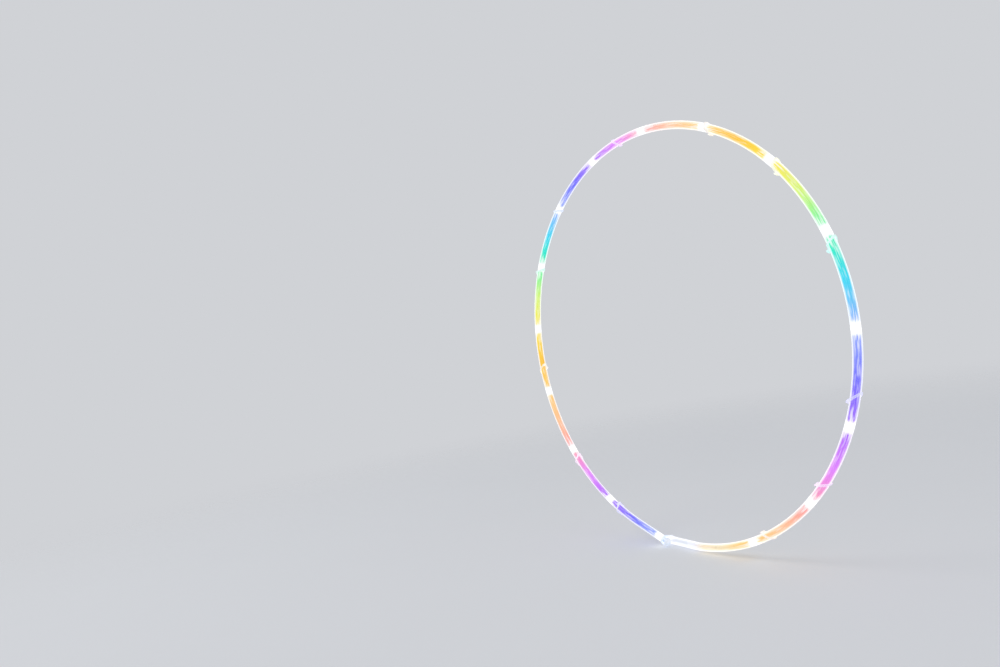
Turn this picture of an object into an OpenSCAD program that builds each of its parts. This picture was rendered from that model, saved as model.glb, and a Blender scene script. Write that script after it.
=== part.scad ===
// Spoke wheel light: a clear tube with coloured LEDs inside, bent to a ring, with ties for spokes.
// Lengths are in millimetres and angles in degrees. The ring's axis is the Y axis and +Z is up.
// Angles in the ring's plane count from +X towards +Z. The tube starts straight at its closed end, runs
// clockwise almost once round, bends to the far side and ends in a straight tail beside the closed end.

/* [Ring] */
// Radius of the ring, to the middle of the tube
ring_r = 256; // [200:1:300]
// Outer diameter of the tube
tube_d = 9.5; // [9:0.1:13]
// Wall of the tube
tube_wall = 1.25; // [0.8:0.05:1.5]
// Angle of the closed end
closed_end = 258.2; // [250:0.1:275]
// Length of the straight run at the closed end
closed_len = 50; // [30:1:70]

/* [Lap] */
// Angle of the ring over which the tail moves to the far side, up to the cap on the closed end
lap_turn = 14.5; // [13:0.1:18]
// Bend radius where the tube leaves the ring for the tail
bend_r = 110; // [60:1:120]
// Length of the closed end that the tail lies beside
lap_len = 6.6; // [4:0.1:20]
// Gap between the tail and the closed end beside it
lap_gap = 0.4; // [0.3:0.1:3]

/* [Lights] */
// Distance from one LED to the next, along the ring
led_pitch = 97; // [30:0.5:150]
// Gap between the cap's plug and the first LED's board
first_board_gap = 1.7; // [1:0.1:10]
// Length of an LED's board
board_len = 9; // [7:0.5:14]
// Height of an LED's dome
dome_r = 1.4; // [0.8:0.1:1.5]
// Diameter of each supply wire
wire_d = 0.7; // [0.5:0.05:0.9]

/* [Power] */
// Diameter of a power cell
cell_d = 4.2; // [3:0.1:4.8]
// Length of a power cell
cell_len = 25.9; // [10:0.1:36]
// Length of the control board
control_len = 26; // [18:1:40]
// Travel of the power button
button_travel = 0.5; // [0.3:0.05:0.7]
// Diameter of the power button
button_d = 5.2; // [4:0.1:6.4]

/* [Ends] */
// Length of the cap's plug inside the closed end
cap_plug_len = 4.5; // [3:0.1:8]
// Length of the cap outside the closed end
cap_len = 4; // [2:0.5:8]
// Length of the switch plug inside the tail
plug_len = 8; // [5:0.5:14]
// Length of the switch plug's collar outside the tail
collar_len = 7; // [4:0.5:12]
// Thickness of the sealing rings
seal_d = 1; // [0.6:0.05:1.3]

/* [Ties] */
// Number of spokes that the ties are spaced for
spoke_count = 32; // [28:4:36]
// Diameter of the spoke that a tie fits
spoke_d = 2; // [1.4:0.1:3.5]
// Angle of the first tie on the ring
first_spoke = 92.9; // [80:0.1:100]
// Width of a tie's strap
strap_w = 2.4; // [1.8:0.1:4]
// Thickness of a tie's strap
strap_t = 1; // [0.6:0.1:1.5]

/* [Hidden] */
$fn = 72;
ring_fn = 360;
// Clearance between pieces that sit in or on each other
fit = 0.05;
// Clearance of a tie's strap around what it holds
tie_fit = 0.12;
// Clearance around a piece that slides
slide_fit = 0.2;
// How far a cut runs past a face, or a shape into the one that it joins
over = 1;

tube_r = tube_d / 2;
bore_r = tube_r - tube_wall;
// Degrees of the ring for one millimetre along it
deg_per_mm = 180 / (PI * ring_r);

// The straight run touches the ring here, and ends with the cap farther out.
closed_start = closed_end - atan2(closed_len, ring_r);
cap_outer_angle = closed_start + atan2(closed_len + cap_len, ring_r);
cap_outer_r = norm([ring_r, closed_len + cap_len]);
// The tail passes the outer end of the cap side by side with it, on the far side. From where the tube
// leaves the ring, that place is cap_ahead along the tube and cap_inwards towards the axis.
bend_start = cap_outer_angle - 360 + lap_turn;
cap_ahead = cap_outer_r * sin(lap_turn);
cap_inwards = ring_r - cap_outer_r * cos(lap_turn);
lap_side = tube_d + lap_gap;
// The bend's plane is rolled about the tube, so that the tail is turned straight to that place.
bend_roll = atan2(lap_side, cap_inwards);
lap_shift = norm([lap_side, cap_inwards]);
bend_angle = atan2(cap_ahead, bend_r - lap_shift) - acos(bend_r / norm([cap_ahead, bend_r - lap_shift]));
bend_shift = bend_r * (1 - cos(bend_angle));
lap_open = bend_start + 360 - closed_start;
tail_len = tail_length(closed_len - lap_len);
// The runs of the tube stop a little short of each other, and a short band joins them there.
seam = 0.2;
band_len = 1;
band_grow = 0.02;

// Heights in the tube, towards the near side: the wires lie on the bore, the boards on the wires.
wire_r = wire_d / 2;
wire_x = 1;
wire_z = -sqrt(pow(bore_r - wire_r - fit, 2) - pow(wire_x, 2));
board_z = wire_z + wire_r + fit / 2;
board_side_gap = 0.25;
board_w = 2 * sqrt(pow(bore_r - board_side_gap, 2) - pow(board_z, 2));
board_t = 0.6;
package_w = 3;
package_len = 3.4;
package_h = 1;
resistor_size = [2, 1.2, 0.5];
resistor_gap = 0.5;

// Two cells follow the last LED, with a contact disc at each end and one between them, then a spring.
cell_r = cell_d / 2;
nub_r = 0.9;
nub_len = 0.8;
cell_sag = pow(cell_len, 2) / (8 * ring_r);
cell_z = wire_z + sqrt(pow(cell_r + wire_r + fit, 2) - pow(wire_x - cell_sag / 2, 2));
contact_r = 1.9;
contact_t = 0.5;
// The cells lie at a small angle to the discs and to the spring.
contact_gap = 0.12;
cell_step = cell_len + contact_t + 2 * contact_gap;
contact_setback = 1;
first_contact = board_len / 2 + contact_setback;
first_cell = first_contact + contact_t + contact_gap;
spring_wire_d = 0.4;
spring_r = 1.4;
spring_turns = 3;
spring_len = 3.6;
spring_start = first_cell + cell_step + cell_len + contact_gap;
contact_starts = [first_contact, first_contact + cell_step, spring_start + spring_len + contact_gap];
power_len = contact_starts[2] + contact_t;

// The ring has as many LEDs as fit between the cap and the cells.
first_led_gap = cap_plug_len + first_board_gap + board_len / 2;
led_run = closed_len + (closed_start - bend_start) / deg_per_mm - first_led_gap - power_len;
led_count = 1 + floor(led_run / led_pitch);
last_led_gap = first_led_gap + (led_count - 1) * led_pitch;
last_led = closed_start - (last_led_gap - closed_len) * deg_per_mm;
// The colours repeat in this order, and the string starts with blue.
colour_names = ["red", "orange", "yellow", "green", "blue", "violet"];
first_colour = 4;

// Along the tail, counted outwards from the end of the tube
seal_r = seal_d / 2;
plug_edge_r = 1;
rod_r = 1.1;
rod_hole_r = rod_r + slide_fit;
button_r = button_d / 2;
pocket_r = button_r + slide_fit;
pocket_floor = 1.2;
button_base = pocket_floor + button_travel + slide_fit;
button_proud = 1.5;
button_edge_r = 0.5;
clip_t = 0.5;
clip_r = 2;
rod_end = -plug_len - 2 * clip_t;
switch_w = 3.4;
switch_len = 3;
stem_r = 0.8;
stem_proud = 0.8;
stem_inside = 1.1;
switch_face = rod_end - fit - stem_proud;
switch_setback = 0.4;
control_end = switch_face + switch_setback;
control_top = -switch_w / 2 - fit / 2;
chip_size = [2.6, 1, 5];

// A tie's loop is a slot with round ends, across the tube and the spoke at 45 degrees to both.
loop_r = tube_r + spoke_d / 2 + 1.5 * tie_fit;
loop_offset = spoke_d / 2 + tie_fit / 2;
loop_reach = sqrt(2) * (tube_r + tie_fit) + strap_w / 2 + 2 * tie_fit;
loop_half = max(0, loop_reach - sqrt(pow(loop_r, 2) - pow(loop_offset, 2)));
tie_head = [3.4, strap_w + 1.6, 4];
tie_stub = 2.5;
stub_sink = 0.2;
// Ties keep clear of the lap and of the way that the plug comes out, by the length that a tie takes up.
tie_space = loop_half + loop_r + strap_t + tie_head.x;
plug_way = 12;
tail_reach = tail_len + collar_len + button_proud + plug_way;
tail_reach_angle = bend_start + 360 - atan2(tail_ahead(tail_reach), ring_r - tail_inwards(tail_reach));
ties_from = min(closed_start, tail_reach_angle) - tie_space * deg_per_mm;
ties_to = bend_start + tie_space * deg_per_mm;
// The ties sit at these spokes, counted clockwise. Spokes with odd numbers pass on the near side of the tube.
wanted_spokes = [0, 3, 5, 7, 10, 12, 14, 19, 21, 24, 27, 29];
tie_spokes = [for (spoke = wanted_spokes) if (clear_of_lap(spoke_angle(spoke))) spoke];
// One more tie holds the closed end and the tail side by side, halfway between their two ends.
lap_tie_along = closed_len - lap_len / 2;
lap_tie_at = tail_length(lap_tie_along);
lap_tie_out = tail_outwards(lap_tie_at);
lap_tie_side = tail_shift(lap_tie_at) * sin(bend_roll);
lap_tie_half = norm([lap_tie_out, lap_tie_side]) / 2;
lap_tie_r = tube_r + 2 * tie_fit;

function spoke_angle(spoke) = first_spoke - spoke * 360 / spoke_count;

// A place on the tail, some length past the bend: how far ahead it is of where the tube leaves the ring,
// how far it has moved in the plane of the bend, and how much of that is towards the axis
function tail_ahead(length) = bend_r * sin(bend_angle) + length * cos(bend_angle);
function tail_shift(length) = bend_shift + length * sin(bend_angle);
function tail_inwards(length) = tail_shift(length) * cos(bend_roll);

// The same place as seen from the start of the straight run: along that run, and outwards from it
function tail_along(length) =
    (ring_r - tail_inwards(length)) * sin(lap_open) - tail_ahead(length) * cos(lap_open);
function tail_outwards(length) =
    (ring_r - tail_inwards(length)) * cos(lap_open) + tail_ahead(length) * sin(lap_open) - ring_r;

// Length past the bend at which the tail is a distance along the straight run
function tail_length(along) = (along - tail_along(0)) / (tail_along(1) - tail_along(0));

// Whether a tie at an angle holds the ring itself, away from the lap
function clear_of_lap(angle) =
    let (turned = (angle - bend_start) % 360, on_ring = bend_start + (turned < 0 ? turned + 360 : turned))
    on_ring > ties_to && on_ring < ties_from;

// Lays the ring's plane upright: x stays, y becomes up and z points to the near side.
module ring_plane() {
    rotate([90, 0, 0]) children();
}

// Places at an angle on the ring: x points outwards, y counter-clockwise along the tube, z to the near side.
module at_ring(angle) {
    ring_plane() rotate(angle) translate([ring_r, 0, 0]) children();
}

// Places where the tube leaves the ring: y points along the tube, x outwards and z to the far side.
module leave_ring() {
    at_ring(bend_start) rotate([180, 0, 0]) children();
}

// Turns the frame of leave_ring() round the bend, to the start of the straight tail.
module round_bend() {
    leave_ring() rotate([0, bend_roll, 0]) translate([-bend_r, 0, 0]) rotate(bend_angle)
        translate([bend_r, 0, 0]) rotate([0, -bend_roll, 0]) children();
}

// Places at the end of the tail: z points out of the tube, x away from the ring's axis, y to the near side.
module at_tail() {
    round_bend() translate([0, tail_len, 0]) rotate([-90, 0, 0]) children();
}

// Places on the straight run, a length from where it leaves the ring, with the axes of at_ring().
module at_closed_run(length) {
    at_ring(closed_start) translate([0, length, 0]) children();
}

// Places at the closed end: z points out of the tube.
module at_closed_end() {
    at_closed_run(closed_len) rotate([-90, 0, 0]) children();
}

// Sweeps a flat outline, x outwards and y to the near side, along the tube.
// It stops short of the closed end and of the tail's end by the lengths given.
module along_tube(short_of_cap = 0, short_of_tail = 0) {
    arc_seam = seam * deg_per_mm;
    bend_seam = seam * 180 / (PI * bend_r);
    at_closed_run(closed_len - short_of_cap) rotate([90, 0, 0])
        linear_extrude(closed_len - short_of_cap - seam) children();
    ring_plane() rotate(bend_start + arc_seam)
        rotate_extrude(angle = closed_start - bend_start - 2 * arc_seam, $fn = ring_fn)
            translate([ring_r, 0]) children();
    leave_ring() rotate([0, bend_roll, 0]) translate([-bend_r, 0, 0]) rotate(bend_seam)
        rotate_extrude(angle = bend_angle - 2 * bend_seam, $fn = ring_fn)
            translate([bend_r, 0]) rotate(bend_roll) mirror([0, 1]) children();
    round_bend() translate([0, seam, 0]) rotate([-90, 0, 0])
        linear_extrude(tail_len - seam - short_of_tail) children();
}

// Short straight bands across the places where the curve changes
module across_bends() {
    at_closed_run(0) rotate([90, 0, 0]) linear_extrude(band_len, center = true) children();
    leave_ring() rotate([-90, 0, 0]) linear_extrude(band_len, center = true) children();
    round_bend() rotate([-90, 0, 0]) linear_extrude(band_len, center = true) children();
}

module tube_outline(grow = 0) {
    difference() {
        circle(tube_r + grow);
        circle(bore_r - grow);
    }
}

module light_tube() {
    color([0.88, 0.93, 1, 0.45]) {
        along_tube() tube_outline();
        across_bends() tube_outline(band_grow);
    }
}

module supply_wire(side) {
    along_tube(first_led_gap - board_len / 2, -control_end)
        translate([side * wire_x, wire_z]) circle(wire_r);
    across_bends() translate([side * wire_x, wire_z]) circle(wire_r + band_grow);
}

module feed_wire() {
    color("firebrick") supply_wire(1);
}

module return_wire() {
    color("dimgray") supply_wire(-1);
}

// Places at a distance along the tube from the closed end, on the straight run or on the ring.
module past_closed_end(distance) {
    at_ring(closed_start - max(0, distance - closed_len) * deg_per_mm)
        translate([0, max(0, closed_len - distance), 0]) children();
}

// Places something at each LED whose colour has the number given, or at every LED for -1.
module at_leds(colour = -1) {
    for (i = [0 : led_count - 1])
        if (colour < 0 || (i + first_colour) % len(colour_names) == colour)
            past_closed_end(first_led_gap + i * led_pitch) children();
}

module led_boards() {
    color("mintcream") at_leds() translate([0, 0, board_z]) {
        translate([-board_w / 2, -board_len / 2, 0]) cube([board_w, board_len, board_t]);
        translate([-resistor_size.x / 2, package_len / 2 + resistor_gap, board_t]) cube(resistor_size);
    }
}

module led() {
    translate([0, 0, board_z + board_t]) {
        translate([-package_w / 2, -package_len / 2, 0]) cube([package_w, package_len, package_h]);
        translate([0, 0, package_h]) rotate_extrude() intersection() {
            circle(dome_r);
            square(dome_r);
        }
    }
}

module led_red() {
    color("red") at_leds(0) led();
}

module led_orange() {
    color("darkorange") at_leds(1) led();
}

module led_yellow() {
    color("gold") at_leds(2) led();
}

module led_green() {
    color("limegreen") at_leds(3) led();
}

module led_blue() {
    color("blue") at_leds(4) led();
}

module led_violet() {
    color("darkviolet") at_leds(5) led();
}

// Places at a distance along the tube past the last LED, on the axis of the cells, with z along the tube.
module past_last_led(distance) {
    at_ring(last_led - distance * deg_per_mm)
        translate([-cell_sag / 2, 0, cell_z]) rotate([90, 0, 0]) children();
}

module power_cells() {
    color("silver") for (i = [0, 1])
        past_last_led(first_cell + cell_len / 2 + i * cell_step)
            translate([0, 0, -cell_len / 2]) {
                cylinder(r = nub_r, h = nub_len + over);
                translate([0, 0, nub_len]) cylinder(r = cell_r, h = cell_len - nub_len);
            }
}

// Three discs, each on a foot that stands on the two wires
module cell_contacts() {
    foot_h = cell_z - board_z;
    color("gainsboro") for (start = contact_starts)
        past_last_led(start + contact_t / 2) translate([0, 0, -contact_t / 2]) {
            cylinder(r = contact_r, h = contact_t);
            translate([-wire_x, -foot_h, 0]) cube([2 * wire_x, foot_h, contact_t]);
        }
}

// Middle line of the spring: a straight lead at each end, and turns that rise evenly between them
spring_rise = spring_len - 2 * spring_wire_d;
spring_steps = 8 * spring_turns;
spring_line = concat(
    [[spring_r, 0, 0]],
    [for (i = [0 : spring_steps])
        let (angle = 360 * spring_turns * i / spring_steps)
        [spring_r * cos(angle), spring_r * sin(angle), spring_wire_d + spring_rise * i / spring_steps]],
    [[spring_r, 0, spring_len]]
);

// Direction of a line at one of its points
function unit(v) = v / norm(v);
function heading(line, i) =
    i == 0 ? unit(line[1] - line[0])
    : i == len(line) - 1 ? unit(line[i] - line[i - 1])
    : unit(unit(line[i + 1] - line[i]) + unit(line[i] - line[i - 1]));

// Ring of points round a coil's middle line, kept upright by the coil's own axis
function coil_ring(line, i, r, sides) =
    let (
        along = heading(line, i),
        outwards = unit([line[i].x, line[i].y, 0]),
        across = unit(outwards - (outwards * along) * along),
        upwards = cross(along, across)
    )
    [for (k = [0 : sides - 1])
        let (angle = 360 * k / sides)
        line[i] + r * (cos(angle) * across + sin(angle) * upwards)];

// Solid tube round a coil's middle line, made of triangles
module coil_tube(line, r, sides) {
    rings = len(line);
    points = [for (i = [0 : rings - 1]) each coil_ring(line, i, r, sides)];
    walls = [
        for (i = [0 : rings - 2], k = [0 : sides - 1])
            let (a = i * sides + k, b = i * sides + (k + 1) % sides)
            each [[a, a + sides, b], [b, a + sides, b + sides]]
    ];
    first_cap = [for (k = [1 : sides - 2]) [0, k, k + 1]];
    last = (rings - 1) * sides;
    last_cap = [for (k = [1 : sides - 2]) [last, last + k + 1, last + k]];
    polyhedron(points, concat(walls, first_cap, last_cap));
}

// Least distance between points of the spring that lie at least half a turn apart, less the wire
spring_self_gap = min([
    for (i = [0 : len(spring_line) - 1], j = [0 : len(spring_line) - 1])
        if (j - i >= 4) norm(spring_line[i] - spring_line[j])
]) - spring_wire_d;
echo(spring_self_gap = spring_self_gap);

module contact_spring() {
    color("lightgray") past_last_led(spring_start + spring_len / 2)
        translate([0, 0, -spring_len / 2]) coil_tube(spring_line, spring_wire_d / 2, 6);
}

module control_board() {
    color("seagreen") at_tail()
        translate([-board_w / 2, board_z, control_end - control_len])
            cube([board_w, control_top - board_z, control_len]);
}

module control_chip() {
    color("black") at_tail()
        translate([-chip_size.x / 2, control_top, control_end - control_len / 2 - chip_size.z])
            cube(chip_size);
}

module switch_body() {
    color("slategray") at_tail() difference() {
        translate([-switch_w / 2, -switch_w / 2, switch_face - switch_len])
            cube([switch_w, switch_w, switch_len]);
        translate([0, 0, switch_face - stem_inside - button_travel - slide_fit])
            cylinder(r = stem_r + slide_fit, h = switch_len);
    }
}

module switch_stem() {
    color("ivory") at_tail()
        translate([0, 0, switch_face - stem_inside]) cylinder(r = stem_r, h = stem_inside + stem_proud);
}

// Outline of the groove round a plug for a sealing ring
module seal_groove(z) {
    translate([bore_r - 2 * fit - seal_d, z - seal_r - fit]) square([seal_d + over, seal_d + 2 * fit]);
}

module seal_ring(z) {
    rotate_extrude() translate([bore_r - fit - seal_r, z]) circle(seal_r);
}

// Outline of a plug: a length in the bore, and a length outside it as wide as the tube, with a round edge
module plug_outline(inside, outside) {
    translate([0, -inside]) square([bore_r - slide_fit / 2, inside]);
    square([tube_r, outside - plug_edge_r]);
    square([tube_r - plug_edge_r, outside]);
    intersection() {
        translate([tube_r - plug_edge_r, outside - plug_edge_r]) circle(plug_edge_r);
        square([tube_r, outside]);
    }
}

module switch_plug() {
    color("whitesmoke") at_tail() rotate_extrude() difference() {
        plug_outline(plug_len, collar_len);
        translate([0, -plug_len - over]) square([rod_hole_r, plug_len + collar_len]);
        translate([0, pocket_floor]) square([pocket_r, collar_len]);
        seal_groove(-plug_len / 2);
    }
}

module plug_seal() {
    color("black") at_tail() seal_ring(-plug_len / 2);
}

module power_button() {
    cap_h = collar_len + button_proud - button_base;
    color("white") at_tail() rotate_extrude() {
        translate([0, rod_end]) square([rod_r, button_base - rod_end + over]);
        translate([0, button_base]) square([button_r, cap_h - button_edge_r]);
        translate([0, button_base]) square([button_r - button_edge_r, cap_h]);
        translate([button_r - button_edge_r, button_base + cap_h - button_edge_r]) circle(button_edge_r);
    }
}

// Push-on ring that keeps the button's rod in the plug
module button_clip() {
    color("silver") at_tail()
        translate([0, 0, -plug_len - fit - clip_t]) difference() {
            cylinder(r = clip_r, h = clip_t);
            translate([0, 0, -over]) cylinder(r = rod_r + fit / 2, h = clip_t + 2 * over);
        }
}

module end_cap() {
    color("whitesmoke") at_closed_end() rotate_extrude() difference() {
        plug_outline(cap_plug_len, cap_len);
        seal_groove(-cap_plug_len / 2);
    }
}

module cap_seal() {
    color("black") at_closed_end() seal_ring(-cap_plug_len / 2);
}

// Flat slot with round ends: two circles of radius r, half a length either side of the middle
module slot(r, half) {
    for (side = [-1, 1])
        translate([side * half, 0]) circle(r);
    translate([-half, -r]) square([2 * half, 2 * r]);
}

// Strap of a tie, bent round a slot, with its head at one end of the slot and the cut stub beside it
module tie(r, half) {
    reach = half + r + strap_t / 2;
    rotate([90, 0, 0]) linear_extrude(strap_w, center = true) difference() {
        slot(r + strap_t, half);
        slot(r, half);
    }
    difference() {
        translate([-reach, 0, 0]) cube([tie_head.x, tie_head.y, tie_head.z], center = true);
        rotate([90, 0, 0]) linear_extrude(tie_head.y + 2 * over, center = true) slot(r, half);
    }
    translate([-reach - strap_t / 2, -strap_w / 2, tie_head.z / 2 - stub_sink])
        cube([strap_t, strap_w, tie_stub]);
}

// Stretch of the ring round an angle on it, with the clearance that a tie leaves
module held_stretch() {
    reach = 2 * tie_space * deg_per_mm;
    translate([-ring_r, 0, 0]) rotate(-reach / 2)
        rotate_extrude(angle = reach, $fn = ring_fn) translate([ring_r, 0]) circle(tube_r + tie_fit);
}

// The head of a tie is hollowed where it lies against the tube.
module spoke_ties() {
    color([0.95, 0.97, 1, 0.7]) for (spoke = tie_spokes) {
        side = spoke % 2 == 1 ? 1 : -1;
        at_ring(spoke_angle(spoke)) difference() {
            translate([0, 0, side * loop_offset]) rotate(45) tie(loop_r, loop_half);
            held_stretch();
        }
    }
}

// The tail and its plug's collar cross this tie at an angle, so the strap is hollowed to fit them.
module lap_tie() {
    color([0.95, 0.97, 1, 0.7]) difference() {
        at_closed_run(lap_tie_along) rotate([0, atan2(lap_tie_side, lap_tie_out), 0])
            translate([lap_tie_half, 0, 0]) rotate([0, 180, 0]) tie(lap_tie_r, lap_tie_half);
        round_bend() rotate([-90, 0, 0]) cylinder(r = tube_r + tie_fit, h = tail_len + collar_len);
    }
}

light_tube();
feed_wire();
return_wire();
led_boards();
led_red();
led_orange();
led_yellow();
led_green();
led_blue();
led_violet();
power_cells();
cell_contacts();
contact_spring();
control_board();
control_chip();
switch_body();
switch_stem();
switch_plug();
plug_seal();
power_button();
button_clip();
end_cap();
cap_seal();
spoke_ties();
lap_tie();
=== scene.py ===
# Looks of the spoke wheel light: a ring of clear tube, lit from inside by coloured LEDs.
import math

import bmesh
import bpy
from mathutils import Matrix, Vector


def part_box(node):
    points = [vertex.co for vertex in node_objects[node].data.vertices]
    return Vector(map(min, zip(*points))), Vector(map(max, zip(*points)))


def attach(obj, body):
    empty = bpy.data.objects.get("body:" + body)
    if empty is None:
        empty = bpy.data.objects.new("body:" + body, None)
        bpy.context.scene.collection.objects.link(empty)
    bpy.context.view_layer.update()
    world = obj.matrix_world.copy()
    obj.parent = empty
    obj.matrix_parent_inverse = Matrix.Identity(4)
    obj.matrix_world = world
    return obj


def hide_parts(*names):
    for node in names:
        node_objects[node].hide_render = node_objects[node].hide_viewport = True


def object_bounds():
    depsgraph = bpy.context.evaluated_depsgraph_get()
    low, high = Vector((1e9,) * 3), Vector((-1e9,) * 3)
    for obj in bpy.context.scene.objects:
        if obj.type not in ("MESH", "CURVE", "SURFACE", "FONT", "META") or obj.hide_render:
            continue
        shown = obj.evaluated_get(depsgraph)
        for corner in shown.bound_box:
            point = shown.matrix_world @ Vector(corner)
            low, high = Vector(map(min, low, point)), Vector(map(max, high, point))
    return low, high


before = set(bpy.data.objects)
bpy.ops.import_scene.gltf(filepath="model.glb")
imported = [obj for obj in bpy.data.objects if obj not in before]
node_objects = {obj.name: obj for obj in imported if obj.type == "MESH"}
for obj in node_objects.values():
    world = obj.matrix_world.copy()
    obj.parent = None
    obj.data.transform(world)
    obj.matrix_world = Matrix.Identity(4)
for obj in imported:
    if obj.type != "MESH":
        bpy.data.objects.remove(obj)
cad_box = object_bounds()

MM = 0.001
FULL_TURN = 360.0

# The ring, as in its solids: the radius of the tube's middle line and that of the tube
RING_R = 256 * MM
TUBE_R = 4.75 * MM
# Angles on the ring, counted counter-clockwise in degrees: where the tail bends off, where the closed end
# becomes straight and where its cap ends
BEND_START = -86.44
CLOSED_START = 247.149
CAP_END = 259.06

# LEDs follow one another clockwise from the closed end: the angle of the first one in degrees, and their
# distance along the tube in millimetres
FIRST_LED = 255.944
LED_PITCH = 97
LED_STEP = math.degrees(LED_PITCH * MM / RING_R)
LAST_LED_INDEX = 15
# Half the length of the white spot at an LED, and how softly it ends, in millimetres
SPOT_HALF = 5.5
SPOT_EDGE = 3.0
# Clear plastic within this distance of an LED is filled with its light, in millimetres.
NEAR_LED = 26.0
# Past the last LED the colour fades over this part of the distance to the next one.
COLOUR_FADE = (0.1, 0.6)

# A point that lies further to the far side than this belongs to the tail.
TAIL_SIDE = 4.95 * MM
# The way in which the tail leaves the ring
TAIL_HEADING = (math.sin(math.radians(BEND_START)), 0, -math.cos(math.radians(BEND_START)))
# The tail moves to the far side from this distance on, by this share of the way ahead.
TAIL_SHIFT_FROM = 10 * MM
TAIL_SLOPE = 0.179
# Degrees past the bend from which the tail is straight, and over which its light turns cool
TAIL_STRAIGHT_FROM = 2.8
TAIL_COOL = (0.5, 6.0)

# Ties, as in their solids. Spokes count clockwise, and those with odd numbers pass on the near side.
FIRST_SPOKE = 92.9
SPOKE_STEP = 11.25
TIE_SPOKES = (0, 3, 5, 7, 10, 12, 14, 19, 21, 24, 27, 29)
SPOKE_R = 1 * MM
TIE_FIT = 0.12 * MM
STRAP_W = 2.4 * MM
STRAP_T = 1 * MM
STRAP_EDGE = 0.2 * MM
# Length along the strap, width and height of a tie's head and of the cut end that leaves it
HEAD_HEIGHT = 2.2 * MM
HEAD_SIZE = (4 * MM, 4 * MM, HEAD_HEIGHT)
HEAD_EDGE = 0.6 * MM
STUB_LEN = 4.2 * MM
STUB_SIZE = (STUB_LEN, STRAP_W, STRAP_T)
WINDOW_MARGIN = 0.7 * MM
WINDOW_DEPTH = 0.5 * MM
# The lap tie's place on the straight run, and how far outwards and to the far side the tail lies there
LAP_TIE_ALONG = 46.7 * MM
TAIL_OUT = 3.19 * MM
TAIL_FAR = 11.32 * MM
# Meshes of the ties: the largest turn between two sections of a strap, the gap that counts as a run between
# two bars, the steps in which the strap twists there, the steps of a rounded edge and the least sharp edge
ARC_STEP = math.radians(7.2)
RUN_FROM = 1.2 * MM
TWIST_STEPS = 6
EDGE_STEPS = 3
SHARP_ANGLE = math.radians(35)

# The spring at the end of the power cells, as in its solid, and how fine its mesh is along a turn and round
# the wire
SPRING_R = 1.4 * MM
SPRING_WIRE_R = 0.2 * MM
SPRING_TURNS = 3
SPRING_FLAT_TURN = 0.5
SPRING_LEN = 3.6 * MM
COIL_STEPS = 24
WIRE_STEPS = 3

# The camera that took the photograph, found from the shape of the ring in it
CAMERA_PLACE = Vector((0.6587, -0.6498, -0.0011))
CAMERA_YAW = 57.49
CAMERA_PITCH = -2.69
CAMERA_ROLL = -9.78
FOCAL_PIXELS = 730.6
IMAGE_WIDTH = 1000
SENSOR_WIDTH = 36
CLIP_START = 10 * MM

# The LEDs in their order along the tube from the closed end: the colour of the lens, of the tube's light
# beside it, and of that light halfway to the next LED
LED_COLOURS = {
    "blue": ("1f4cff", "90acff", "6a66ff"),
    "violet": ("8f35ff", "a060ff", "e080ff"),
    "red": ("ff2438", "ff94a0", "ffc090"),
    "orange": ("ff8a1c", "ffcc60", "fcc428"),
    "yellow": ("ffe01c", "ffe420", "d4f470"),
    "green": ("10e860", "00f4a0", "18d8f2"),
}
WARM_WHITE = "ffe9bd"
COOL_WHITE = "e4eaff"
WHITE = "ffffff"

# Moulded plastic: the mean of noise, the detail of the clouds and of the grain, how many times finer the
# grain is, and how much it changes the roughness
NOISE_MEAN = 0.5
CLOUD_DETAIL = 4
GRAIN_DETAIL = 2
GRAIN_FINENESS = 12.0
GRAIN_ROUGHNESS = 0.25

# Pale wisps that drawing leaves in the tube: the longest one in millimetres, their fineness round the tube,
# their detail, the noise from which they show a little and fully, and what an LED's light adds to it
WISP_LEN = 50.0
WISP_SCALE = 3.2
WISP_DETAIL = 5
WISP_SHOWS = (0.5, 0.64)
WISP_NEAR_LED = 0.08
# How white a wisp is away from the LEDs and near one, and how white the light in the wall is
WISP_WHITE = (0.35, 0.8)
WALL_WHITE = 0.75
# How solid the wall looks without a wisp and with one, and at its edges, and how far it has to be turned away
# to count as an edge
WALL_ALPHA = (0.02, 0.16)
EDGE_ALPHA = 0.72
EDGE_TURNED = (0.2, 0.7)
# How solid the lit bore looks, and how solid in the stretch without LEDs, where the cells and the control
# board show a little
BORE_ALPHA = 0.92
PLAIN_BORE_ALPHA = 0.72
# The bore's own colour, and the weight of the glossy coat on the wall
BORE_COLOUR = "0c0c0e"
WALL_COAT = 0.6

# How solid clear nylon looks in the middle, and at its edges and near an LED, where its painted glow from the
# tube's light shows most, and how far the edges are turned away
NYLON_ALPHA = (0.35, 0.95)
NYLON_TURNED = (0.1, 0.7)
# How much of the glow painted on a lit plastic, which stands for the tube's light falling on it, has the
# plastic's own colour
OWN_GLOW = 0.5
# A lit lens has its own colour below one height towards the near side and is white above another.
LENS_FOOT = -2 * MM
LENS_TOP = 0.4 * MM
LENS_STRENGTH = 5.0

# The floor fades away between two distances from the middle, into surroundings that give one colour of light
# and show another.
FLOOR_FADE_FROM = 0.5
FLOOR_R = 2.4
FLOOR_SIDES = 96
FLOOR_COLOUR = "ecedef"
SKY_LIGHT = "c8cace"
SKY_SEEN = "d0d2d6"
# Place, size and power of the lamps, in metres and watts
LAMPS = {
    "key_lamp": ((-1.3, -1.8, 2.2), 1.6, 16),
    "fill_lamp": ((2.2, -0.6, 1.4), 1.6, 6),
}


def linear(hex_colour):
    """A screen colour such as ff8800 as the red, green, blue and alpha that Blender works in (sRGB curve)."""
    channels = [int(hex_colour[i:i + 2], 16) / 255 for i in (0, 2, 4)]
    return (*[c / 12.92 if c <= 0.04045 else ((c + 0.055) / 1.055) ** 2.4 for c in channels], 1)


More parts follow.
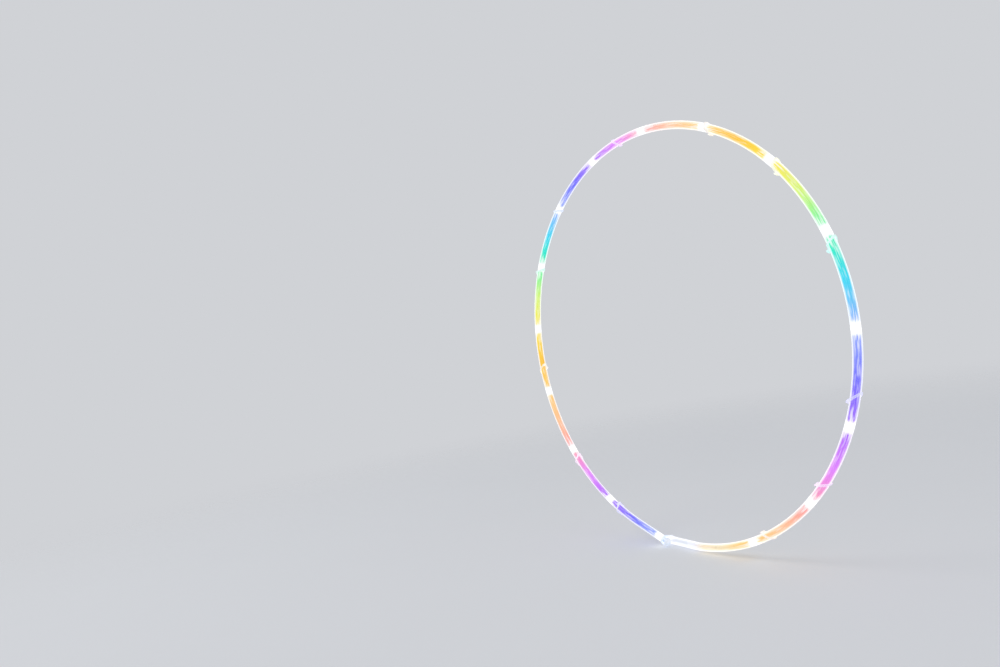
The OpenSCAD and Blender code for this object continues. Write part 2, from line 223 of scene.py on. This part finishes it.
class Wiring:
    """Adds nodes to a tree and links them, with values or sockets as inputs."""

    def __init__(self, tree):
        self.tree = tree

    def put(self, socket, value):
        if isinstance(value, bpy.types.NodeSocket):
            self.tree.links.new(value, socket)
        else:
            socket.default_value = value

    def node(self, kind, inputs=None, **settings):
        made = self.tree.nodes.new(kind)
        for name, value in settings.items():
            setattr(made, name, value)
        for name, value in (inputs or {}).items():
            self.put(made.inputs[name], value)
        return made

    def math(self, operation, *values):
        made = self.node("ShaderNodeMath", operation=operation)
        for socket, value in zip(made.inputs, values):
            self.put(socket, value)
        return made.outputs[0]

    def smooth(self, value, low, high):
        """0 below low, 1 above high, and an even curve between them."""
        inputs = {"Value": value, "From Min": low, "From Max": high}
        return self.node("ShaderNodeMapRange", inputs, interpolation_type="SMOOTHSTEP").outputs["Result"]

    def mix(self, kind, sockets, values, result):
        """A mix node. It has sockets for each kind of value under the same names, so they go by number."""
        made = self.node("ShaderNodeMix", data_type=kind)
        for socket, value in zip(sockets, values):
            self.put(made.inputs[socket], value)
        return made.outputs[result]

    def blend(self, factor, first, second):
        """First colour where the factor is 0, second where it is 1."""
        return self.mix("RGBA", (0, 6, 7), (factor, first, second), 2)

    def between(self, factor, first, second):
        """First number where the factor is 0, second where it is 1."""
        return self.mix("FLOAT", (0, 2, 3), (factor, first, second), 0)

    def vector(self, operation, first, second=(0, 0, 0), result="Vector"):
        made = self.node("ShaderNodeVectorMath", operation=operation)
        self.put(made.inputs[0], first)
        self.put(made.inputs["Scale" if operation == "SCALE" else 1], second)
        return made.outputs[result]

    def joined(self, x, y, z):
        return self.node("ShaderNodeCombineXYZ", {"X": x, "Y": y, "Z": z}).outputs["Vector"]

    def place(self):
        """The point on the object, as x, y and z."""
        coords = self.node("ShaderNodeTexCoord")
        return self.node("ShaderNodeSeparateXYZ", {"Vector": coords.outputs["Object"]}).outputs

    def noise(self, scale, detail, vector=None, along=None):
        """Noise over the surface, or over a direction and a distance along the tube."""
        inputs = {"Scale": scale, "Detail": detail}
        inputs["Vector"] = vector or self.node("ShaderNodeTexCoord").outputs["Object"]
        if along:
            inputs["W"] = along
        dimensions = "4D" if along else "3D"
        return self.node("ShaderNodeTexNoise", inputs, noise_dimensions=dimensions).outputs["Fac"]

    def turned_away(self):
        """0 where the surface faces the viewer, 1 at its edges."""
        return self.node("ShaderNodeLayerWeight", {"Blend": 0.5}).outputs["Facing"]

    def group(self, tree, **inputs):
        made = self.node("ShaderNodeGroup", node_tree=tree)
        for name, value in inputs.items():
            self.put(made.inputs[name], value)
        return made.outputs


def new_group(name, inputs, outputs):
    """An empty node group with named sockets: its wiring, its input sockets and its output sockets."""
    tree = bpy.data.node_groups.new(name, "ShaderNodeTree")
    for direction, sockets in (("INPUT", inputs), ("OUTPUT", outputs)):
        for socket_name, kind in sockets.items():
            tree.interface.new_socket(socket_name, in_out=direction, socket_type="NodeSocket" + kind)
    wires = Wiring(tree)
    return wires, wires.node("NodeGroupInput").outputs, wires.node("NodeGroupOutput").inputs


def colour_in_order(wires, part):
    """The colour of the light at some part of the way through the LEDs' order, which repeats."""
    colours = [linear(shade) for _, beside, halfway in LED_COLOURS.values() for shade in (beside, halfway)]
    colours.append(colours[0])
    ramp = wires.node("ShaderNodeValToRGB", {"Fac": part})
    stops = ramp.color_ramp.elements
    while len(stops) < len(colours):
        stops.new(0.5)
    for index, stop in enumerate(stops):
        stop.position = index / (len(colours) - 1)
        stop.color = colours[index]
    return ramp.outputs["Color"]


def way_out(wires, x, y, z, past_ring, tail):
    """The way out from the tube's middle line. The line runs on the ring, goes straight on for the degrees
    past its end, and moves to the far side in the tail."""
    flat = wires.joined(x, 0.0, z)
    ahead = wires.vector("DOT_PRODUCT", flat, TAIL_HEADING, "Value")
    shifted = wires.math("MAXIMUM", wires.math("SUBTRACT", ahead, TAIL_SHIFT_FROM), 0.0)
    aside = wires.math("MULTIPLY", wires.math("MULTIPLY", shifted, TAIL_SLOPE), tail)
    turned = wires.math("RADIANS", wires.math("MAXIMUM", past_ring, 0.0))
    radius = wires.math("DIVIDE", RING_R, wires.math("COSINE", turned))
    middle = wires.vector("SCALE", wires.vector("NORMALIZE", flat), radius)
    outwards = wires.vector("SUBTRACT", wires.joined(x, wires.math("SUBTRACT", y, aside), z), middle)
    return wires.vector("NORMALIZE", outwards)


def light_along_tube():
    """The light along the tube: its colour, the white spots at the LEDs, what is near one, the stretch that
    has none, the distance along the tube in millimetres and the way out from the tube's middle."""
    outputs = {"Colour": "Color", "Outwards": "Vector"}
    outputs.update({name: "Float" for name in ("Spot", "Near", "Plain", "Along")})
    wires, _, result = new_group("light along the tube", {}, outputs)
    x, y, z = wires.place()
    angle = wires.math("DEGREES", wires.math("ARCTAN2", z, x))
    from_bend = wires.math("FLOORED_MODULO", wires.math("SUBTRACT", angle, BEND_START), FULL_TURN)
    to_bend = wires.math("SUBTRACT", FULL_TURN, from_bend)
    past_cap = wires.math("GREATER_THAN", from_bend, CAP_END - BEND_START)
    tail = wires.math("MAXIMUM", past_cap, wires.math("GREATER_THAN", y, TAIL_SIDE))

    # LEDs count clockwise from the closed end, so that each whole number is the place of one.
    count = wires.math("DIVIDE", wires.math("SUBTRACT", FIRST_LED - BEND_START, from_bend), LED_STEP)
    wires.put(result["Along"], wires.math("MULTIPLY", count, float(LED_PITCH)))
    repeat = float(len(LED_COLOURS))
    part = wires.math("FRACT", wires.math("DIVIDE", wires.math("ADD", count, repeat), repeat))

    # The light has no colour in the stretch without LEDs and in the tail.
    fade_from, fade_to = (LAST_LED_INDEX + share for share in COLOUR_FADE)
    plain = wires.math("MAXIMUM", wires.smooth(count, fade_from, fade_to), tail)
    warm = wires.blend(plain, colour_in_order(wires, part), linear(WARM_WHITE))
    cool = wires.math("MULTIPLY", tail, wires.smooth(to_bend, *TAIL_COOL))
    wires.put(result["Colour"], wires.blend(cool, warm, linear(COOL_WHITE)))
    wires.put(result["Plain"], plain)

    # Going to and fro over half a step gives the distance to the nearest LED.
    distance = wires.math("MULTIPLY", wires.math("PINGPONG", count, 0.5), float(LED_PITCH))
    past_string = wires.math("GREATER_THAN", count, LAST_LED_INDEX + 0.5)
    off_spot = wires.smooth(distance, SPOT_HALF - SPOT_EDGE, SPOT_HALF + SPOT_EDGE)
    no_spot = wires.math("MAXIMUM", off_spot, wires.math("MAXIMUM", past_string, tail))
    wires.put(result["Spot"], wires.math("SUBTRACT", 1.0, no_spot))
    far_off = wires.math("MAXIMUM", wires.smooth(distance, SPOT_HALF, NEAR_LED), past_string)
    wires.put(result["Near"], wires.math("SUBTRACT", 1.0, far_off))

    past_closed = wires.math("SUBTRACT", from_bend, CLOSED_START - BEND_START)
    past_bend = wires.math("SUBTRACT", to_bend, TAIL_STRAIGHT_FROM)
    past_ring = wires.between(tail, past_closed, past_bend)
    wires.put(result["Outwards"], way_out(wires, x, y, z, past_ring, tail))
    return wires.tree


def moulded_surface():
    """Slow colour changes, fine grain and a faint unevenness, as on moulded or drawn plastic."""
    inputs = {"Colour": "Color", "Shift": "Float", "Roughness": "Float", "Scale": "Float"}
    outputs = {"Colour": "Color", "Roughness": "Float", "Height": "Float"}
    wires, given, result = new_group("moulded surface", inputs, outputs)
    clouds = wires.noise(given["Scale"], CLOUD_DETAIL)
    grain = wires.noise(wires.math("MULTIPLY", given["Scale"], GRAIN_FINENESS), GRAIN_DETAIL)
    shade = wires.math("MULTIPLY", wires.math("SUBTRACT", clouds, NOISE_MEAN), given["Shift"])
    shaded = {"Value": wires.math("ADD", 1.0, shade), "Color": given["Colour"]}
    wires.put(result["Colour"], wires.node("ShaderNodeHueSaturation", shaded).outputs["Color"])
    change = wires.math("MULTIPLY", wires.math("SUBTRACT", grain, NOISE_MEAN), GRAIN_ROUGHNESS)
    wires.put(result["Roughness"], wires.math("ADD", given["Roughness"], change))
    wires.put(result["Height"], wires.math("ADD", grain, clouds))
    return wires.tree


LIGHT = light_along_tube()
MOULDED = moulded_surface()


def new_material(name, **sockets):
    """A material with a Principled BSDF: its wiring and that node's inputs, with constant sockets set."""
    material = bpy.data.materials.new(name)
    material.use_nodes = True
    wires = Wiring(material.node_tree)
    shader = material.node_tree.nodes["Principled BSDF"]
    for socket, value in sockets.items():
        shader.inputs[socket.replace("_", " ")].default_value = value
    return material, wires, shader.inputs


def moulded(wires, shader, colour, roughness, shift, scale, bump, depth):
    """Gives a shader the roughness and the unevenness of a moulded surface, and returns its colour."""
    surface = wires.group(MOULDED, Colour=linear(colour), Shift=shift, Roughness=roughness, Scale=scale)
    wires.put(shader["Roughness"], surface["Roughness"])
    inputs = {"Height": surface["Height"], "Strength": bump, "Distance": depth}
    wires.put(shader["Normal"], wires.node("ShaderNodeBump", inputs).outputs["Normal"])
    return surface["Colour"]


def clear_tube():
    """Clear drawn tube: a wall that is pale at its edges, and the colour of the light on the bore."""
    material, wires, shader = new_material("clear tube", Emission_Strength=1.0, Coat_Roughness=0.04)
    light = wires.group(LIGHT)
    wall_colour = moulded(wires, shader, "8d9094", 0.2, shift=0.2, scale=90.0, bump=0.05, depth=0.2 * MM)
    geometry = wires.node("ShaderNodeNewGeometry").outputs
    facing = wires.between(geometry["Backfacing"], 1.0, -1.0)
    outwards = wires.vector("DOT_PRODUCT", light["Outwards"], geometry["Normal"], "Value")
    bore = wires.math("LESS_THAN", wires.math("MULTIPLY", outwards, facing), 0.0)
    along = wires.math("DIVIDE", light["Along"], WISP_LEN)
    drawn = wires.noise(WISP_SCALE, WISP_DETAIL, light["Outwards"], along)
    drawn = wires.math("ADD", drawn, wires.between(light["Near"], 0.0, WISP_NEAR_LED))
    wisp = wires.smooth(drawn, *WISP_SHOWS)

    wall_glow = wires.blend(WALL_WHITE, light["Colour"], linear(WHITE))
    pale = wires.math("MULTIPLY", wisp, wires.between(light["Near"], *WISP_WHITE))
    glow = wires.blend(bore, wall_glow, wires.blend(pale, light["Colour"], linear(WHITE)))
    wires.put(shader["Emission Color"], wires.blend(light["Spot"], glow, linear(WHITE)))
    wires.put(shader["Base Color"], wires.blend(bore, wall_colour, linear(BORE_COLOUR)))
    wires.put(shader["Coat Weight"], wires.between(bore, WALL_COAT, 0.0))

    edge = wires.smooth(wires.turned_away(), *EDGE_TURNED)
    wall_alpha = wires.between(edge, wires.between(wisp, *WALL_ALPHA), EDGE_ALPHA)
    bore_alpha = wires.between(light["Plain"], BORE_ALPHA, PLAIN_BORE_ALPHA)
    alpha = wires.between(bore, wall_alpha, bore_alpha)
    wires.put(shader["Alpha"], wires.between(light["Spot"], alpha, BORE_ALPHA))
    return material


def plastic(name, colour, roughness, bump=0.15, lit=0.0, clear=False):
    """Moulded plastic, with the tube's light on it painted on as a glow, as strong as lit says."""
    material, wires, shader = new_material(name, Emission_Strength=lit)
    surface = moulded(wires, shader, colour, roughness, shift=0.15, scale=160.0, bump=bump, depth=0.1 * MM)
    wires.put(shader["Base Color"], surface)
    if lit:
        # The tube's light falling on the plastic is painted on as a glow, half in the light's colour and half
        # in the plastic's own.
        light = wires.group(LIGHT)
        wires.put(shader["Emission Color"], wires.blend(OWN_GLOW, light["Colour"], linear(colour)))
    if lit and clear:
        # Near an LED the nylon turns solid, so that its painted glow for the tube's light on it shows most
        # there.
        edge = wires.smooth(wires.turned_away(), *NYLON_TURNED)
        solid = wires.math("MAXIMUM", edge, light["Near"])
        wires.put(shader["Alpha"], wires.between(solid, *NYLON_ALPHA))
    return material


def steel(name, colour, roughness):
    """Plated steel with a fine grain."""
    material, wires, shader = new_material(name, Metallic=1.0)
    surface = moulded(wires, shader, colour, roughness, shift=0.2, scale=700.0, bump=0.2, depth=0.05 * MM)
    wires.put(shader["Base Color"], surface)
    return material


def lit_lens(name, colour):
    """An LED that is on: its colour at the foot, nearly white at the dome."""
    material, wires, shader = new_material(name, Emission_Strength=LENS_STRENGTH, Roughness=0.25)
    surface = wires.group(MOULDED, Colour=linear(colour), Shift=0.1, Roughness=0.2, Scale=400.0)
    wires.put(shader["Base Color"], surface["Colour"])
    height = wires.math("MULTIPLY", wires.place()["Y"], -1.0)
    white = wires.smooth(height, LENS_FOOT, LENS_TOP)
    wires.put(shader["Emission Color"], wires.blend(white, surface["Colour"], linear(WHITE)))
    return material


def dress(material, *names):
    """Gives CAD nodes a material."""
    for name in names:
        mesh = node_objects[name].data
        if not mesh.materials:
            mesh.materials.append(material)
        for index in range(len(mesh.materials)):
            mesh.materials[index] = material


dress(clear_tube(), "light_tube")
dress(plastic("red insulation", "a8201c", 0.35), "feed_wire")
dress(plastic("black insulation", "26272b", 0.35), "return_wire")
# The LED boards get a painted glow that stands for the LEDs' light falling on them.
dress(plastic("white board", "e9ede6", 0.45, lit=0.6), "led_boards")
for led_name, (lens_colour, _, _) in LED_COLOURS.items():
    dress(lit_lens("lit " + led_name + " lens", lens_colour), "led_" + led_name)
dress(steel("plated can", "cfd0d0", 0.28), "power_cells")
SPRING_STEEL = steel("spring steel", "c4c5c6", 0.3)
dress(SPRING_STEEL, "cell_contacts", "button_clip")
dress(plastic("green board", "1c6a44", 0.4), "control_board")
dress(plastic("black moulding", "1b1c1f", 0.45), "control_chip")
dress(plastic("grey moulding", "6b7076", 0.45), "switch_body")
dress(plastic("ivory moulding", "e6dfca", 0.4), "switch_stem")
# The milky plug and end cap get a faint painted glow for the tube's light on them.
dress(plastic("milky moulding", "eef1f5", 0.3, lit=0.25), "switch_plug", "end_cap")
dress(plastic("black rubber", "1d1d1f", 0.7, bump=0.3), "plug_seal", "cap_seal")
dress(plastic("white button", "f1f2f4", 0.35), "power_button")
# The clear nylon ties get a painted glow for the tube's light on them.
CLEAR_NYLON = plastic("clear nylon", "e9edf3", 0.3, lit=0.42, clear=True)


def ring_axes(angle):
    """Directions at an angle on the ring: outwards, counter-clockwise along it, and to the near side."""
    outwards = Vector((math.cos(math.radians(angle)), 0, math.sin(math.radians(angle))))
    near = Vector((0, -1, 0))
    return outwards, near.cross(outwards), near


def strap_line(middle, up, reach, lower, upper):
    """Middle line of a strap pulled round two bars that lie across it, one above the other.

    A bar is its height, the radius at which the strap goes round it and the direction across it. Each point
    comes with the direction away from the bar there.
    """
    lower_height, lower_r, _ = lower
    upper_height, upper_r, _ = upper
    start = math.asin((lower_r - upper_r) / (upper_height - lower_height))
    arcs = ((upper, start, math.pi - start), (lower, math.pi - start, math.tau + start))
    line = []
    for (height, radius, across), low, high in arcs:
        # An even number of steps puts one of the points in the middle of the arc.
        steps = 2 * math.ceil((high - low) / 2 / ARC_STEP)
        for step in range(steps + 1):
            turn = low + (high - low) * step / steps
            round_bar = math.cos(turn) * reach + math.sin(turn) * up
            away = math.cos(turn) * across + math.sin(turn) * up
            line.append((middle + height * up + radius * round_bar, away))
    return line


def add_strap(mesh, line):
    """Sweeps the strap's flat section along a closed line, and twists it evenly where it leaves a bar."""
    half_w, half_t = STRAP_W / 2, STRAP_T / 2
    corners = ((half_w, half_t - STRAP_EDGE), (half_w - STRAP_EDGE, half_t))
    corners += tuple((-x, y) for x, y in reversed(corners))
    section = corners + tuple((-x, -y) for x, y in corners)
    full = []
    for index, (point, away) in enumerate(line):
        before, away_before = line[index - 1]
        steps = TWIST_STEPS if (point - before).length > RUN_FROM else 1
        for step in range(1, steps + 1):
            full.append((before.lerp(point, step / steps), away_before.lerp(away, step / steps)))
    rings = []
    for index, (point, away) in enumerate(full):
        ahead = (full[(index + 1) % len(full)][0] - full[index - 1][0]).normalized()
        across = ahead.cross(away).normalized()
        upright = across.cross(ahead)
        rings.append([mesh.verts.new(point + x * across + y * upright) for x, y in section])
    for index, ring in enumerate(rings):
        last = rings[index - 1]
        for corner in range(len(section)):
            mesh.faces.new((last[corner - 1], ring[corner - 1], ring[corner], last[corner]))


def add_block(mesh, middle, ahead, away, size, edge, window=False):
    """Adds a block with rounded edges: its length along ahead, its width and its height along away.

    It is made in a mesh of its own, where a window can be sunk into its top.
    """
    axes = (ahead, away.cross(ahead), away)
    shape = Matrix([axis * length for axis, length in zip(axes, size)]).transposed().to_4x4()
    block = bmesh.new()
    bmesh.ops.create_cube(block, size=1, matrix=Matrix.Translation(middle) @ shape)
    edges = block.edges[:]
    bmesh.ops.bevel(block, geom=edges, offset=edge, segments=EDGE_STEPS, profile=0.5, affect="EDGES")
    if window:
        top = max(block.faces, key=lambda face: face.calc_area() * face.normal.dot(away))
        bmesh.ops.inset_individual(block, faces=[top], thickness=WINDOW_MARGIN, depth=-WINDOW_DEPTH)
    data = bpy.data.meshes.new("block")
    block.to_mesh(data)
    block.free()
    mesh.from_mesh(data)
    bpy.data.meshes.remove(data)


def add_tie(mesh, line, head_at, stub_way):
    """A tie: its strap, a head with a window over the catch, and the cut end of the strap."""
    add_strap(mesh, line)
    point, away = min(line, key=lambda place: (place[1] - head_at).length)
    middle = point + away * (HEAD_HEIGHT - STRAP_T) / 2
    add_block(mesh, middle + stub_way * STUB_LEN / 2, stub_way, away, STUB_SIZE, STRAP_EDGE)
    add_block(mesh, middle, stub_way, away, HEAD_SIZE, HEAD_EDGE, window=True)


def nylon_piece(name, mesh, node):
    """Makes a piece of clear nylon that rides on the ring and stands for a node."""
    bmesh.ops.recalc_face_normals(mesh, faces=mesh.faces)
    data = bpy.data.meshes.new(name)
    mesh.to_mesh(data)
    mesh.free()
    data.shade_smooth()
    data.set_sharp_from_angle(angle=SHARP_ANGLE)
    data.materials.append(CLEAR_NYLON)
    piece = bpy.data.objects.new(name, data)
    bpy.context.scene.collection.objects.link(piece)
    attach(piece, "ring")
    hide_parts(node)


def spoke_tie_straps():
    """Ties that cross the tube and a spoke at 45 degrees to both, and hold the spoke against the tube."""
    mesh = bmesh.new()
    for spoke in TIE_SPOKES:
        outwards, along, near = ring_axes(FIRST_SPOKE - spoke * SPOKE_STEP)
        up = near if spoke % 2 else -near
        tube = (0, TUBE_R + TIE_FIT + STRAP_T / 2, outwards)
        spoke_bar = (TUBE_R + SPOKE_R + TIE_FIT, SPOKE_R + STRAP_T / 2, along)
        line = strap_line(RING_R * outwards, up, outwards + along, tube, spoke_bar)
        add_tie(mesh, line, -outwards, near)
    nylon_piece("spoke_tie_straps", mesh, "spoke_ties")


def lap_tie_strap():
    """The tie that holds the closed end and the tail side by side."""
    mesh = bmesh.new()
    outwards, along, near = ring_axes(CLOSED_START)
    to_tail = TAIL_OUT * outwards - TAIL_FAR * near
    up = to_tail.normalized()
    across = along.cross(up)
    middle = RING_R * outwards + LAP_TIE_ALONG * along
    strap_r = TUBE_R + 2 * TIE_FIT + STRAP_T / 2
    line = strap_line(middle, up, across, (0, strap_r, across), (to_tail.length, strap_r, across))
    add_tie(mesh, line, up, across)
    nylon_piece("lap_tie_strap", mesh, "lap_tie")


def contact_coil():
    """Round wire wound between the last power cell and its contact, with half a flat turn at each end."""
    low, high = (Vector(corner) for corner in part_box("contact_spring"))
    centre = (low + high) / 2
    outwards, along, near = ring_axes(math.degrees(math.atan2(centre.z, centre.x)))
    rise = SPRING_LEN - 2 * SPRING_WIRE_R
    curve = bpy.data.curves.new("contact_coil", "CURVE")
    curve.dimensions = "3D"
    curve.bevel_depth = SPRING_WIRE_R
    curve.bevel_resolution = WIRE_STEPS
    curve.use_fill_caps = True
    spline = curve.splines.new("POLY")
    spline.points.add(round((SPRING_TURNS + 2 * SPRING_FLAT_TURN) * COIL_STEPS))
    for index, point in enumerate(spline.points):
        turn = index / COIL_STEPS
        angle = math.tau * turn
        height = rise * min(max((turn - SPRING_FLAT_TURN) / SPRING_TURNS, 0), 1) - rise / 2
        spot = centre + SPRING_R * (math.cos(angle) * outwards + math.sin(angle) * near) + height * along
        point.co = (*spot, 1)
    coil = bpy.data.objects.new("contact_coil", curve)
    bpy.context.scene.collection.objects.link(coil)
    curve.materials.append(SPRING_STEEL)
    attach(coil, "ring")
    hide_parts("contact_spring")


def photo_camera():
    """The camera that took the photograph, in the ring's frame."""
    yaw, pitch, roll = (math.radians(a) for a in (CAMERA_YAW, CAMERA_PITCH, CAMERA_ROLL))
    back = Vector((math.sin(yaw) * math.cos(pitch), -math.cos(yaw) * math.cos(pitch), math.sin(pitch)))
    level_right = Vector((math.cos(yaw), math.sin(yaw), 0))
    level_up = level_right.cross(-back)
    right = math.cos(roll) * level_right + math.sin(roll) * level_up
    up = math.cos(roll) * level_up - math.sin(roll) * level_right
    lens = bpy.data.cameras.new("photo camera")
    lens.sensor_fit = "HORIZONTAL"
    lens.sensor_width = SENSOR_WIDTH
    lens.lens = FOCAL_PIXELS * SENSOR_WIDTH / IMAGE_WIDTH
    lens.clip_start = CLIP_START
    camera = bpy.data.objects.new("photo_camera", lens)
    turn = Matrix((right, up, back)).transposed().to_4x4()
    camera.matrix_world = Matrix.Translation(CAMERA_PLACE) @ turn
    bpy.context.scene.collection.objects.link(camera)
    bpy.context.scene.camera = camera


def pale_floor():
    """A pale floor under the ring that fades away all round."""
    bpy.ops.mesh.primitive_circle_add(
        vertices=FLOOR_SIDES, radius=FLOOR_R, fill_type="NGON", location=(0, 0, cad_box[0][2]))
    floor = bpy.context.object
    floor.name = "floor"
    material, wires, shader = new_material("pale floor")
    surface = wires.group(MOULDED, Colour=linear(FLOOR_COLOUR), Shift=0.02, Roughness=0.9, Scale=3.0)
    wires.put(shader["Base Color"], surface["Colour"])
    wires.put(shader["Roughness"], surface["Roughness"])
    x, y, _ = wires.place()
    away = wires.vector("LENGTH", wires.joined(x, y, 0.0), result="Value")
    wires.put(shader["Alpha"], wires.math("SUBTRACT", 1.0, wires.smooth(away, FLOOR_FADE_FROM, FLOOR_R)))
    floor.data.materials.append(material)


def pale_surroundings():
    """Even light from all round, which looks a little paler than it shines, and soft lamps."""
    world = bpy.data.worlds.new("studio")
    bpy.context.scene.world = world
    world.use_nodes = True
    wires = Wiring(world.node_tree)
    background = world.node_tree.nodes["Background"]
    path = wires.node("ShaderNodeLightPath").outputs
    seen = wires.math("MAXIMUM", path["Is Camera Ray"], path["Is Glossy Ray"])
    seen = wires.math("MAXIMUM", seen, path["Is Transmission Ray"])
    wires.put(background.inputs["Color"], wires.blend(seen, linear(SKY_LIGHT), linear(SKY_SEEN)))
    background.inputs["Strength"].default_value = 1.0
    for name, (place, size, power) in LAMPS.items():
        light = bpy.data.lights.new(name, "AREA")
        light.size = size
        light.energy = power
        lamp = bpy.data.objects.new(name, light)
        lamp.location = place
        lamp.rotation_euler = (-Vector(place)).to_track_quat("-Z", "Y").to_euler()
        bpy.context.scene.collection.objects.link(lamp)


spoke_tie_straps()
lap_tie_strap()
contact_coil()
photo_camera()
pale_floor()
pale_surroundings()
bpy.context.scene.view_settings.view_transform = "Standard"
